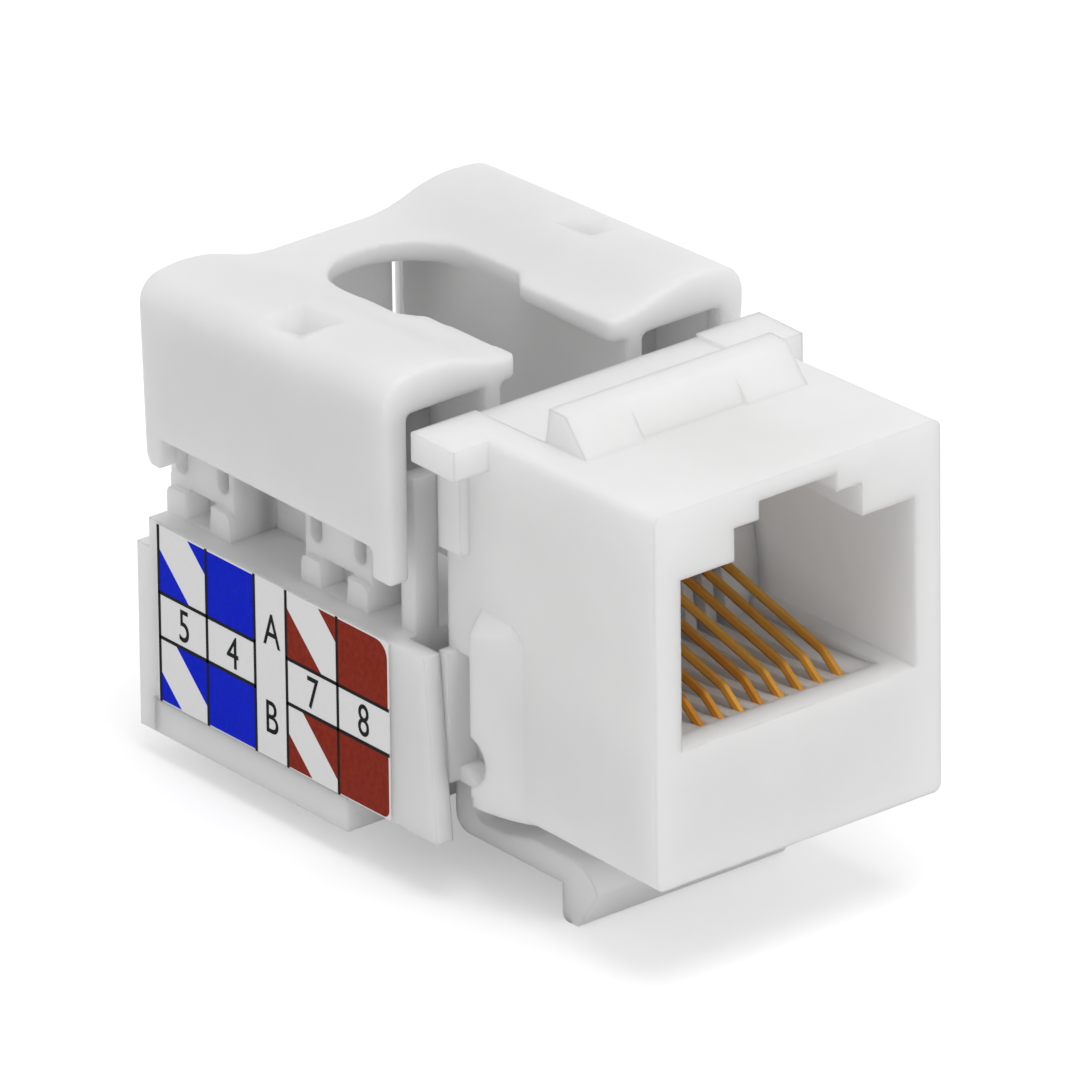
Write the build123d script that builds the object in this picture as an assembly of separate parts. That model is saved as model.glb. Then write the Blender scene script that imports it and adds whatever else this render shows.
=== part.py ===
"""Keystone jack with a right-angle terminal block, its printed wiring chart and its snap-on dust cap.

Design frame, in millimetres: x is 0 on the middle plane, y runs back from the port face and z is 0 on the
front top edge of the port housing. Every piece is moved to the part frame when it is written: the
origin is on the surface that the jack stands on, under the middle of its width and depth.
"""
import math
import os

from build123d import *

# Overall
DEPTH = 31.2
STAND_HEIGHT = 20.9
CLEARANCE = 0.1

# Port housing
HOUSING_WIDTH = 14.5
HOUSING_HEIGHT = 16.1
HOUSING_DEPTH = 13.0
HOUSING_REAR_WIDTH = 14.2
TOP_FALL = 0.33
EDGE_RADIUS = 0.35
EAR_REACH = 1.6
EAR_DEPTH = 2.7
EAR_HEIGHT = 1.25
CATCH_WIDTH = 11.2
CATCH_FOOT = 5.7
CATCH_CREST = (7.4, 8.4)
CATCH_BACK = 8.7
CATCH_HEIGHT = 1.3
FLARE_START = 8.2
FLARE_END = 10.9
FLARE_REACH = 0.5
FLARE_TOP = -7.6
FLARE_FADE = 1.2
FLARE_CURVE = 6.5
FLANGE_TOP = -10.1
FLANGE_BOTTOM = -15.7
FLANGE_FRONT = 12.4
FLANGE_OUTER = 7.6
GROOVE_FLOOR = 6.2
GROOVE_FRONT = 10.9
GROOVE_BOTTOM = -15.1
SCOOP_RADIUS = 1.15
SCOOP_CENTRE = (11.2, -14.2)
NOTCH_FRONT = 10.8
NOTCH_TOP = -15.75
CATCH_DIP = 2.6
REAR_CHANNEL = (5.6, 0.15)

# Plug port, as half widths with the level of each roof
PORT_MAIN = (5.945, -3.0)
PORT_STEP = (3.23, -1.6)
PORT_SLOT = (1.97, -0.8)
PORT_FLOOR = -10.35
PORT_DEPTH = 11.6
CLIP_DEPTH = 9.5
CHAMBER_FRONT = 1.3
CHAMBER_FLOOR = -15.3
CHAMBER_HALF = 5.8
FLOOR_OPENING = 5.1
FLOOR_THICK = 0.65
OPENING_REAR = 9.2

# Latch arm below the housing
LATCH_WIDTH = 10.5
LATCH_ROOT = (13.9, 15.0)
LATCH_TOP = -18.1
LATCH_BOTTOM = -19.3
LATCH_TOOTH = 7.5
LATCH_RAMP = (10.2, 12.0)
LATCH_STEP = 0.4
LATCH_NOSE = (6.15, 1.0, 1.6)
LATCH_HEEL = (8.0, 8.35)
ROOT_ROUND = (0.6, 0.8)

# Contact set
CONTACT_COUNT = 8
CONTACT_PITCH = 1.016
WIRE_RADIUS = 0.2
WIRE_RUN = -11.9
WIRE_BEND = 0.45
WIRE_DIVE = -10.8
WIRE_FRONT = 1.6
WIRE_KNEE = (2.8, -9.9)
WIRE_TIP = (1.0, -0.3)
WIRE_GAP = 0.06
WIRE_CREST = (9.4, -8.1)
WIRE_TAILS = (10.7, 8.2)

# Circuit board
BOARD_TOP = -13.4
BOARD_THICK = 1.2
BOARD_FRONT = 5.0
BOARD_REAR = 29.98
BOARD_HALF = (5.6, 7.3)

# Carrier, in the side view
CARRIER_LIP = -10.45
CARRIER_FLOOR = (5.0, -10.8)
CARRIER_BACK = ((9.0, -10.8), (9.6, -7.4), (10.6, -7.4), (10.6, -4.3))

# Terminal block
BLOCK_WIDTH = 16.9
BLOCK_WALL = 0.8
BLOCK_FRONT = (12.9, 12.2)
BLOCK_REAR = 30.4
BLOCK_BOTTOM = -18.1
LEDGE = -10.2
DECK_FRONT = 14.8
DECK_THICK = 1.4
REAR_WALL_TOP = -11.5
REAR_WALL_FOOT = -17.0
REAR_WALL = 0.35
REAR_POST = 2.4
REAR_END_TOP = -8.6
BAR_INNER = 6.15
BAR_DEPTH = 0.9
BAR_TOP = -3.5
COLUMN_CENTRES = (18.25, 21.05, 27.0, 29.65)
END_WALL = 0.7
SUNK = 0.2
BOSS_HALF = 1.1
PROP = (17.2, 27.9)
TOWER_INNER = 4.25
TOWER_OUTER = 7.3
TOWER_TOP = -1.3
TOOTH_OUTER = 7.55
TOOTH_INNER = 6.4
TOOTH_TOP = -9.0
TOOTH_ROUND = 0.3
WEB = (4.25, 5.2)
WEB_TOP = -4.0
WIRE_SLOT = 0.75
SLOT_BOTTOM = -8.35
SLOT_LEAD = 1.5
SLOT_MOUTH = 0.65
RECESS = (0.5, 0.6)

# Blades
BLADE_THICK = 0.4
BLADE_HALF = 0.45
BLADE_X = 5.6
BLADE_TOP = -2.9
BLADE_FOOT = -12.0
POCKET_GAP = 0.05
PRONG_GAP = 0.12
PRONG_ROOT = -8.3
PRONG_LEAD = (0.15, 0.3, 0.7)
TAIL_HALF = 0.3
TAIL_FOOT = -15.5

# Base cover
COVER_FRONT = 17.9
COVER_BOTTOM = -19.6
RIM_INNER = 6.4

# Dust cap
CAP_HALF_WIDTH = 9.15
CAP_FRONT = 14.3
CAP_REAR = 30.2
CAP_REAR_ROUND = 0.6
CAP_WALL = 0.95
CAP_SKIRT = -6.2
CAP_LEAN = 0.3
CAP_FALL = 0.65
CAP_CREST = 1.45
CAP_VALLEY = 0.63
CAP_UNDERSIDE = -0.35
LEG_FOOT = -7.5
LEG_DEPTH = 1.2
INNER_WALL = (3.2, 4.0)
INNER_FOOT = -8.6
INNER_REAR = 28.6
MOUTH_HALF = 2.35
MOUTH_STEP = (20.0, 21.0)
ARCH_HALF = 3.1
ARCH_CENTRE = 24.3
DIMPLE_SIDE = 1.6
DIMPLE_PLACE = (7.4, 22.0, 1.28)
RAIL_TOP = 6.4
RAIL_BEND = (4.6, -0.39)
VALLEY_ENTRY = (3.4, -0.715)
VALLEY_EDGE = 2.2
LIP_ROUND = 0.5
SHOULDER = (1.2, 0.3)
RIB_DEPTH = 0.8
RIB_FRONTS = (19.25, 27.7)

# Wiring chart
CHART_THICK = 0.06
CHART_FRONT = 15.1
CHART_REAR = 29.9
CHART_TOP = -10.3


def slab(x, y, z):
    """Box between the two values of each axis."""
    size = Box(x[1] - x[0], y[1] - y[0], z[1] - z[0])
    return Pos((x[0] + x[1]) / 2, (y[0] + y[1]) / 2, (z[0] + z[1]) / 2) * size


def side_plate(points, x):
    """Prism whose outline is drawn in the side view and runs between two x values."""
    face = make_face(Polyline(*[(0, y, z) for y, z in points], close=True))
    return Pos(x[0], 0, 0) * extrude(face, amount=x[1] - x[0], dir=(1, 0, 0))


def both_sides(shape):
    """A shape with its mirror image across the middle plane."""
    return shape + mirror(shape, about=Plane.YZ)


def make_latch():
    """Springy arm under the housing with its tooth, drawn in the side view."""
    root_front, root_rear = LATCH_ROOT
    inner_round, outer_round = ROOT_ROUND
    ramp_front, ramp_rear = LATCH_RAMP
    nose_y, nose_drop, nose_radius = LATCH_NOSE
    heel_front, heel_rear = LATCH_HEEL
    low = LATCH_TOP - LATCH_STEP
    heel = heel_rear - heel_front
    with BuildLine(Plane.YZ) as outline:
        a = Line((root_front, CHAMBER_FLOOR), (root_front, low + inner_round))
        b = RadiusArc(a @ 1, (root_front - inner_round, low), inner_round)
        c = Line(b @ 1, (ramp_rear, low))
        d = Line(c @ 1, (ramp_front, LATCH_TOP))
        e = Line(d @ 1, (LATCH_TOOTH + 0.2, LATCH_TOP))
        f = RadiusArc(e @ 1, (nose_y, LATCH_TOP - nose_drop), -nose_radius)
        g = Line(f @ 1, (LATCH_TOOTH - 0.25, -STAND_HEIGHT + 0.15))
        h = RadiusArc(g @ 1, (LATCH_TOOTH + heel, -STAND_HEIGHT), -0.5)
        i = Line(h @ 1, (heel_front, -STAND_HEIGHT))
        j = RadiusArc(i @ 1, (heel_rear, -STAND_HEIGHT + heel), -heel)
        k = Line(j @ 1, (heel_rear, LATCH_BOTTOM))
        m = Line(k @ 1, (root_rear - outer_round, LATCH_BOTTOM))
        n = RadiusArc(m @ 1, (root_rear, LATCH_BOTTOM + outer_round), -outer_round)
        o = Line(n @ 1, (root_rear, CHAMBER_FLOOR))
        Line(o @ 1, a @ 0)
    half = LATCH_WIDTH / 2
    return Pos(-half, 0, 0) * extrude(make_face(outline.line), amount=LATCH_WIDTH, dir=(1, 0, 0))


def make_catch():
    """Fixed wedge on the roof that holds the jack behind the panel."""
    foot = -TOP_FALL - 0.3
    front, rear = CATCH_CREST
    profile = [(CATCH_FOOT, foot), (front, CATCH_HEIGHT), (rear, CATCH_HEIGHT), (CATCH_BACK, foot)]
    wedge = side_plate(profile, (-CATCH_WIDTH / 2, CATCH_WIDTH / 2))
    ahead = CATCH_FOOT - 1
    dip = [(ahead, foot), (CATCH_FOOT + 0.35, foot), (front - 0.1, CATCH_HEIGHT), (ahead, CATCH_HEIGHT + 1)]
    return wedge - side_plate(dip, (-CATCH_DIP, CATCH_DIP))


def make_flare():
    """Cheek that swells outwards in front of each groove and fades out at its top."""
    side = HOUSING_WIDTH / 2
    inner = side - 0.4
    reach = side + FLARE_REACH
    with BuildLine(Plane.XY) as outline:
        a = Line((inner, FLARE_START - 0.6), (inner, FLARE_END))
        b = Line(a @ 1, (reach, FLARE_END))
        c = RadiusArc(b @ 1, (side - 0.1, FLARE_START), FLARE_CURVE)
        Line(c @ 1, a @ 0)
    height = FLARE_TOP + HOUSING_HEIGHT
    cheek = Pos(0, 0, -HOUSING_HEIGHT) * extrude(make_face(outline.line), amount=height, dir=(0, 0, 1))
    low = FLARE_TOP - FLARE_FADE
    slope = Polyline((side - 0.2, 0, FLARE_TOP), (reach + 0.1, 0, low), (reach + 0.1, 0, 0), close=True)
    cheek -= extrude(make_face(slope), amount=DEPTH, dir=(0, 1, 0))
    front = FLARE_START - 1
    corner = [(front, low - 0.4), (FLARE_START + 1, FLARE_TOP), (front, FLARE_TOP)]
    return cheek - side_plate(corner, (0, reach + 1))


def make_groove():
    """What is cut away on the right-hand side: groove behind the cheek, scooped end and foot notch."""
    groove = slab((GROOVE_FLOOR, 9), (GROOVE_FRONT, FLANGE_FRONT), (GROOVE_BOTTOM, FLANGE_TOP))
    scoop = Rot(0, 90, 0) * Cylinder(SCOOP_RADIUS, 3)
    groove += Pos(GROOVE_FLOOR + 2, *SCOOP_CENTRE) * scoop
    depth = (NOTCH_FRONT, HOUSING_DEPTH + 1)
    return groove + slab((GROOVE_FLOOR + 0.2, 9), depth, (-HOUSING_HEIGHT - 1, NOTCH_TOP))


def make_port_housing():
    """Housing moulding: port, ears, panel catch, latch arm and the chamber for the contact set."""
    height = HOUSING_HEIGHT
    front = Plane.XZ * Pos(0, -height / 2) * RectangleRounded(HOUSING_WIDTH, height, EDGE_RADIUS)
    height -= TOP_FALL
    section = RectangleRounded(HOUSING_REAR_WIDTH, height, EDGE_RADIUS)
    rear = Plane.XZ.offset(-HOUSING_DEPTH) * Pos(0, -TOP_FALL - height / 2) * section
    body = loft([front, rear])
    side = HOUSING_WIDTH / 2
    rear_end = (HOUSING_DEPTH - EAR_DEPTH, HOUSING_DEPTH)
    ear_foot = -TOP_FALL - EAR_HEIGHT
    ear = slab((6.5, side + EAR_REACH), rear_end, (ear_foot, -TOP_FALL))
    rib = slab((6.9, side + 0.3), (11.6, HOUSING_DEPTH), (-5.6, ear_foot))
    flange = slab((6.9, FLANGE_OUTER), (FLANGE_FRONT, HOUSING_DEPTH), (FLANGE_BOTTOM, FLANGE_TOP))
    body += both_sides(ear + rib + make_flare() + flange) + make_catch()
    body -= both_sides(make_groove())
    half = LATCH_WIDTH / 2
    tail = slab((-half, half), (HOUSING_DEPTH - 0.1, LATCH_ROOT[1]), (-HOUSING_HEIGHT, CHAMBER_FLOOR))
    body += tail + make_latch()
    half, depth = REAR_CHANNEL
    body -= slab((-half, half), (CATCH_BACK, HOUSING_DEPTH + 1), (-TOP_FALL - depth, 1))
    roofs = ((*PORT_MAIN, HOUSING_DEPTH + 1), (*PORT_STEP, CLIP_DEPTH), (*PORT_SLOT, CLIP_DEPTH))
    for half, roof, depth in roofs:
        body -= slab((-half, half), (-1, depth), (PORT_FLOOR, roof))
    half = CHAMBER_HALF
    rear = HOUSING_DEPTH + 3
    ceiling = PORT_FLOOR + 0.6
    body -= slab((-half, half), (CHAMBER_FRONT, rear), (CHAMBER_FLOOR, PORT_FLOOR - FLOOR_THICK))
    body -= slab((-half, half), (OPENING_REAR, rear), (CHAMBER_FLOOR, ceiling))
    return body - slab((-FLOOR_OPENING, FLOOR_OPENING), (CHAMBER_FRONT, rear), (CHAMBER_FLOOR, ceiling))


def wire_x(index):
    """Middle of one contact wire across the port."""
    return (index - (CONTACT_COUNT - 1) / 2) * CONTACT_PITCH


def make_contact_wire(index):
    """Spring wire: board tail, run along the carrier, front bend and the sloping contact."""
    tail = WIRE_TAILS[index % 2]
    crest_y, crest_z = WIRE_CREST
    tip_y, tip_z = WIRE_TIP
    foot = BOARD_TOP - BOARD_THICK - 0.35
    rise = [(tail, foot), (tail, WIRE_RUN), (WIRE_FRONT, WIRE_RUN), (WIRE_FRONT, WIRE_DIVE)]
    spring = [WIRE_KNEE, WIRE_CREST, (crest_y + tip_y, crest_z + tip_z)]
    path = FilletPolyline(*[(0, y, z) for y, z in rise + spring], radius=WIRE_BEND)
    section = Plane(origin=path @ 0, z_dir=path % 0) * RegularPolygon(WIRE_RADIUS, 6)
    return Pos(wire_x(index), 0, 0) * sweep(section, path=path)


def make_contact_carrier():
    """Insert that guides the contact wires and closes the rear of the port."""
    half = CHAMBER_HALF - CLEARANCE
    front = CHAMBER_FRONT + CLEARANCE
    top = PORT_MAIN[1] - CLEARANCE
    side = [(front, BOARD_TOP), (front, CARRIER_LIP), CARRIER_FLOOR, *CARRIER_BACK]
    side += [(PORT_DEPTH, CARRIER_BACK[-1][1]), (PORT_DEPTH, top)]
    side += [(HOUSING_DEPTH, top), (HOUSING_DEPTH, BOARD_TOP)]
    body = side_plate(side, (-half, half))
    shoulder = slab((FLOOR_OPENING - CLEARANCE, half + 1), (0, OPENING_REAR + CLEARANCE), (-11.1, 0))
    body -= both_sides(shoulder)
    gap = WIRE_RADIUS + WIRE_GAP
    for index in range(CONTACT_COUNT):
        x = wire_x(index)
        tail = WIRE_TAILS[index % 2]
        body -= slab((x - gap, x + gap), (0.9, 11.2), (WIRE_RUN - gap, -6.4))
        body -= slab((x - gap, x + gap), (tail - gap, tail + gap), (BOARD_TOP - 1, WIRE_RUN))
    return body


def make_board():
    """Circuit board that joins the contact wires to the blades."""
    levels = (BOARD_TOP - BOARD_THICK, BOARD_TOP)
    nose_half, half = BOARD_HALF
    board = slab((-nose_half, nose_half), (BOARD_FRONT, DECK_FRONT), levels)
    board += slab((-half, half), (HOUSING_DEPTH + 0.6, BOARD_REAR), levels)
    for index in range(CONTACT_COUNT):
        hole = extrude(RegularPolygon(WIRE_RADIUS + 0.04, 8), amount=2)
        board -= Pos(wire_x(index), WIRE_TAILS[index % 2], levels[0] - 0.4) * hole
    half_thick = BLADE_THICK / 2 + 0.06
    half_width = TAIL_HALF + 0.06
    for y in COLUMN_CENTRES:
        across = (BLADE_X - half_thick, BLADE_X + half_thick)
        board -= both_sides(slab(across, (y - half_width, y + half_width), (-16, -12)))
    return board


def make_blade(side, y):
    """Flat forked blade: slit between two prongs, shoulders and a solder tail."""
    lead, peak, dip = PRONG_LEAD
    right = [(PRONG_GAP, PRONG_ROOT), (PRONG_GAP, BLADE_TOP - dip), (BLADE_HALF - lead, BLADE_TOP + peak)]
    right += [(BLADE_HALF, BLADE_TOP), (BLADE_HALF, BLADE_FOOT), (TAIL_HALF, BLADE_FOOT - 0.4)]
    right += [(TAIL_HALF, TAIL_FOOT + 0.3), (0, TAIL_FOOT)]
    left = [(-dy, z) for dy, z in reversed(right[:-1])]
    plate = side_plate([(y + dy, z) for dy, z in right + left], (-BLADE_THICK / 2, BLADE_THICK / 2))
    return Pos(side * BLADE_X, 0, 0) * plate


def make_teeth(first, second):
    """Outer finger guard of one pair of slots, and the sloping recess between its teeth."""
    front = first - END_WALL
    rear = second + END_WALL
    foot = LEDGE - SUNK
    shoulder = TOOTH_TOP - TOOTH_ROUND
    cut = TOOTH_ROUND * 0.3
    bevel = TOOTH_TOP - cut
    outline = [(front, foot), (front, shoulder), (front + cut, bevel), (front + TOOTH_ROUND, TOOTH_TOP)]
    outline += [(rear - TOOTH_ROUND, TOOTH_TOP), (rear - cut, bevel), (rear, shoulder), (rear, foot)]
    guard = side_plate(outline, (TOOTH_INNER, TOOTH_OUTER))
    top, low = RECESS
    recess = [(first + low, LEDGE + 0.1), (first + top, TOOTH_TOP + 0.1)]
    recess += [(second - top, TOOTH_TOP + 0.1), (second - low, LEDGE + 0.1)]
    return guard, side_plate(recess, (TOOTH_INNER, TOOTH_OUTER + 1))


def make_tower_pair(first, second):
    """Posts round one pair of wire slots, with pointed tops, lead-ins and teeth, on the right-hand side."""
    body = slab((TOWER_INNER, TOWER_OUTER), (first - END_WALL, second + END_WALL), (LEDGE - SUNK, TOWER_TOP))
    half = WIRE_SLOT / 2
    floor = SLOT_BOTTOM + half
    lead = TOWER_TOP - SLOT_LEAD
    top = TOWER_TOP + 0.1
    for y in (first, second):
        mouth = [(y - half, floor), (y - half, lead), (y - SLOT_MOUTH, top)]
        mouth += [(y + SLOT_MOUTH, top), (y + half, lead), (y + half, floor)]
        body -= side_plate(mouth, (TOWER_INNER - 1, TOWER_OUTER + 1))
        body -= Pos((TOWER_INNER + TOWER_OUTER) / 2, y, floor) * Rot(0, 90, 0) * Cylinder(half, 6)
    guard, recess = make_teeth(first, second)
    return body + guard - recess


def blade_pocket(y, levels):
    """Room for one blade, with a running gap round it."""
    half_thick = BLADE_THICK / 2 + POCKET_GAP
    half_width = BLADE_HALF + POCKET_GAP
    return slab((BLADE_X - half_thick, BLADE_X + half_thick), (y - half_width, y + half_width), levels)


def make_terminal_block():
    """Block moulding: two rows of towers over a deck, side walls that clasp the housing, rear wall."""
    half = BLOCK_WIDTH / 2
    first, second, third, last = COLUMN_CENTRES
    foot = LEDGE - SUNK
    top_front, bottom_front = BLOCK_FRONT
    outline = [(top_front, LEDGE), (BLOCK_REAR, LEDGE)]
    outline += [(BLOCK_REAR, BLOCK_BOTTOM), (bottom_front, BLOCK_BOTTOM)]
    side = side_plate(outline, (half - BLOCK_WALL, half))
    side += slab((half - REAR_POST, half), (BLOCK_REAR - 0.1, DEPTH), (COVER_BOTTOM, REAR_WALL_TOP))
    side += slab((0, TOWER_OUTER), (BLOCK_REAR - REAR_WALL, BLOCK_REAR), (foot, REAR_END_TOP))
    side += slab((BAR_INNER, TOWER_OUTER), (DECK_FRONT, DECK_FRONT + BAR_DEPTH), (foot, BAR_TOP))
    boss = (BLADE_X - BOSS_HALF, BLADE_X + BOSS_HALF)
    side += slab(boss, (first - 0.9, last + 0.6), (BLADE_FOOT - 0.3, LEDGE - 1))
    side += make_tower_pair(first, second) + make_tower_pair(third, last)
    side += slab(WEB, (second + END_WALL - 0.1, third - END_WALL + 0.1), (foot, WEB_TOP))
    side += slab((TOOTH_INNER - 0.1, half - 0.1), PROP, (BOARD_TOP, LEDGE - 1))
    body = both_sides(side)
    body += slab((-half, half), (DECK_FRONT, BLOCK_REAR), (LEDGE - DECK_THICK, LEDGE))
    body += slab((-half, half), (BLOCK_REAR - REAR_WALL, DEPTH), (REAR_WALL_FOOT, REAR_WALL_TOP))
    body += slab((-half, half), (BLOCK_REAR - REAR_WALL, BLOCK_REAR), (REAR_WALL_TOP - 0.1, LEDGE))
    for y in COLUMN_CENTRES:
        body -= both_sides(blade_pocket(y, (BLADE_FOOT - 0.4, 0)))
    return body


def make_base_cover():
    """Bottom cover with the rim that presses the board up against the block."""
    half = BLOCK_WIDTH / 2
    floor = slab((-half, half), (COVER_FRONT, BLOCK_REAR - 0.15), (COVER_BOTTOM, BLOCK_BOTTOM - 0.02))
    inner = half - BLOCK_WALL - CLEARANCE
    rim_rear = BLOCK_REAR - 0.45
    rim_top = BOARD_TOP - BOARD_THICK
    rim = slab((-inner, inner), (COVER_FRONT + 0.6, rim_rear), (BLOCK_BOTTOM - 0.1, rim_top))
    rim -= slab((-RIM_INNER, RIM_INNER), (COVER_FRONT, rim_rear + 1), (BLOCK_BOTTOM - 0.02, rim_top + 1))
    return floor + rim


def cap_section(inset, skirt):
    """Front-view section across the whole cap: domed rails with a shallow valley between them."""
    half = CAP_HALF_WIDTH - inset
    spring = 0.1 - inset
    crest = CAP_CREST - inset
    valley = CAP_VALLEY - inset
    bend_x, bend_drop = RAIL_BEND
    entry_x, entry_drop = VALLEY_ENTRY
    round_in, bulge = SHOULDER
    with BuildLine(Plane.XZ) as outline:
        a = Line((half - CAP_LEAN, skirt), (half, spring))
        b = ThreePointArc(a @ 1, (half - bulge, crest - 0.5), (half - round_in, crest - 0.05))
        c = ThreePointArc(b @ 1, (RAIL_TOP, crest + 0.01), (bend_x, crest + bend_drop))
        d = ThreePointArc(c @ 1, (entry_x, crest + entry_drop), (VALLEY_EDGE, valley))
        e = Line(d @ 1, (-VALLEY_EDGE, valley))
        f = ThreePointArc(e @ 1, (-entry_x, crest + entry_drop), (-bend_x, crest + bend_drop))
        g = ThreePointArc(f @ 1, (-RAIL_TOP, crest + 0.01), (round_in - half, crest - 0.05))
        h = ThreePointArc(g @ 1, (bulge - half, crest - 0.5), (-half, spring))
        i = Line(h @ 1, (CAP_LEAN - half, skirt))
        Line(i @ 1, a @ 0)
    return make_face(outline.line)


def cap_bar(inset, ends):
    """Bar of the cap's section, tilted so that its top falls towards the rear, between two cuts."""
    section = Pos(0, -2, 0) * cap_section(inset, LEG_FOOT - 2)
    tilt = math.degrees(math.atan2(CAP_FALL, CAP_REAR - CAP_FRONT))
    bar = Pos(0, CAP_FRONT, 0) * Rot(-tilt, 0, 0) * extrude(section, amount=DEPTH, dir=(0, 1, 0))
    return bar & slab((-20, 20), ends, (-20, 5))


def cap_mouth():
    """Plan outline of the opening: straight lips, a step outwards and a round arch at the rear."""
    step_front, step_rear = MOUTH_STEP
    lip = CAP_FRONT + LIP_ROUND
    wide = MOUTH_HALF + LIP_ROUND
    with BuildLine(Plane.XY) as outline:
        a = Line((MOUTH_HALF, step_front), (MOUTH_HALF, lip))
        b = RadiusArc(a @ 1, (wide, CAP_FRONT), -LIP_ROUND)
        c = Polyline(b @ 1, (wide, 0), (-wide, 0), (-wide, CAP_FRONT))
        d = RadiusArc(c @ 1, (-MOUTH_HALF, lip), -LIP_ROUND)
        e = Line(d @ 1, (-MOUTH_HALF, step_front))
        f = Polyline(e @ 1, (-ARCH_HALF, step_rear), (-ARCH_HALF, ARCH_CENTRE))
        g = ThreePointArc(f @ 1, (0, ARCH_CENTRE + ARCH_HALF), (ARCH_HALF, ARCH_CENTRE))
        Polyline(g @ 1, (ARCH_HALF, step_rear), a @ 0)
    return Pos(0, 0, -10) * extrude(make_face(outline.line), amount=20, dir=(0, 0, 1))


def cap_cuts():
    """What is cut away below the cap's skirt and behind its rear legs."""
    low = LEG_FOOT - 3
    across = (-20, 20)
    cuts = slab(across, (0, DEPTH + 1), (low, LEG_FOOT))
    cuts += slab(across, (CAP_FRONT + LEG_DEPTH, CAP_REAR - LEG_DEPTH), (low, CAP_SKIRT))
    front = CAP_REAR - 0.6
    back = CAP_REAR + 0.1
    return cuts + side_plate([(front, low), (front, LEG_FOOT), (back, LEG_FOOT + 0.7), (back, low)], across)


def make_dust_cap():
    """U-shaped cap: two domed rails with corner legs, joined by a bridge behind the round mouth."""
    outer = cap_bar(0, (CAP_FRONT, CAP_REAR))
    rear_rim = outer.edges().filter_by(GeomType.LINE, reverse=True).group_by(Axis.Y)[-1]
    outer = fillet(rear_rim, CAP_REAR_ROUND) - cap_cuts()
    cap = outer - cap_bar(CAP_WALL, (CAP_FRONT + CAP_WALL, CAP_REAR - CAP_WALL))
    low, high = INNER_WALL
    inner = slab((low, high), (CAP_FRONT, INNER_REAR), (INNER_FOOT, 0.3))
    for front in RIB_FRONTS:
        inner += slab((high - 0.1, CAP_HALF_WIDTH - 0.9), (front, front + RIB_DEPTH), (TOWER_TOP, 0.1))
    cap += both_sides(inner)
    leg_inner = CAP_HALF_WIDTH - CAP_LEAN - CAP_WALL + 0.05
    front_gap = slab((high, leg_inner), (0, CAP_FRONT + CAP_WALL + 0.01), (-10, CAP_UNDERSIDE))
    rear_depth = (CAP_REAR - CAP_WALL - 0.2, DEPTH)
    rear_gap = slab((ARCH_HALF + 0.2, leg_inner), rear_depth, (-10, CAP_UNDERSIDE - 0.7))
    x, y, z = DIMPLE_PLACE
    dimple = Pos(x, y, z) * Rot(0, 0, 45) * Box(DIMPLE_SIDE, DIMPLE_SIDE, 1)
    cap -= both_sides(front_gap + rear_gap + dimple)
    return cap - cap_mouth() - slab((-low, low), (0, ARCH_CENTRE), (-10, CAP_UNDERSIDE))


def make_label(side):
    """Printed film on the side wall of the block."""
    half = BLOCK_WIDTH / 2
    film = slab((half, half + CHART_THICK), (CHART_FRONT, CHART_REAR), (BLOCK_BOTTOM + 0.05, CHART_TOP))
    return mirror(film, about=Plane.YZ) if side < 0 else film


def write(name, shape):
    """Write one piece in the part frame."""
    placed = Location((0, -DEPTH / 2, STAND_HEIGHT)) * shape
    export_step(placed, os.path.join("parts", name + ".step"))


os.makedirs("parts", exist_ok=True)
write("port_housing", make_port_housing())
write("contact_carrier", make_contact_carrier())
for number in range(CONTACT_COUNT):
    write(f"contact_wire_{number + 1}", make_contact_wire(number))
write("circuit_board", make_board())
write("terminal_block", make_terminal_block())
for row, side in (("left", -1), ("right", 1)):
    for number, y in enumerate(COLUMN_CENTRES):
        write(f"blade_{row}_{number + 1}", make_blade(side, y))
    write(f"wiring_chart_{row}", make_label(side))
write("base_cover", make_base_cover())
write("dust_cap", make_dust_cap())
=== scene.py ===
"""Looks of a right-angle punch-down keystone jack with its dust cap.

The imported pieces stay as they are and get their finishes. Two things are modelled here: a skin with softened
edges that stands for the cap, and the print of the two wiring charts, as thin layers of ink on the films. Places
and sizes of pieces are in millimetres, in the jack's own design frame: x is 0 on the middle plane, y runs back
from the port face and z is 0 on the front top edge of the housing. Lengths in finishes are in metres.
"""

import logging
import math
from dataclasses import dataclass, field
from enum import Enum

import bpy
from mathutils import Matrix, Vector

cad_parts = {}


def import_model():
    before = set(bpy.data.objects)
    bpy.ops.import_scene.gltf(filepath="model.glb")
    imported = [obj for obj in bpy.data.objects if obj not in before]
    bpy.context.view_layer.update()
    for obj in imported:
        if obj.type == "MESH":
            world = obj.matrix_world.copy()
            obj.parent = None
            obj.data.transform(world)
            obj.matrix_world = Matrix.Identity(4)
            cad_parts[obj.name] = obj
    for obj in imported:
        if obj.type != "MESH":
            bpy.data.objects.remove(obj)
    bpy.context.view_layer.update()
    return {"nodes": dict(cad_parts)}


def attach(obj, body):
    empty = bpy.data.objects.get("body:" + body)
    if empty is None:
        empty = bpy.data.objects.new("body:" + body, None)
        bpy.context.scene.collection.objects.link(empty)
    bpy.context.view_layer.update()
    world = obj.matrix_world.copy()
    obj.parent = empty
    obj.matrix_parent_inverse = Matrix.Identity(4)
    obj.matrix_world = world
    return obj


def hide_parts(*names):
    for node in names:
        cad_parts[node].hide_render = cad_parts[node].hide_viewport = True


LOG = logging.getLogger("keystone_jack")

Colour = tuple[float, float, float]
Point2 = tuple[float, float]
Point3 = tuple[float, float, float]
Edge = tuple[Point2, Point2]
Stripe = tuple[Edge, Edge]
Socket = bpy.types.NodeSocket

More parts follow.
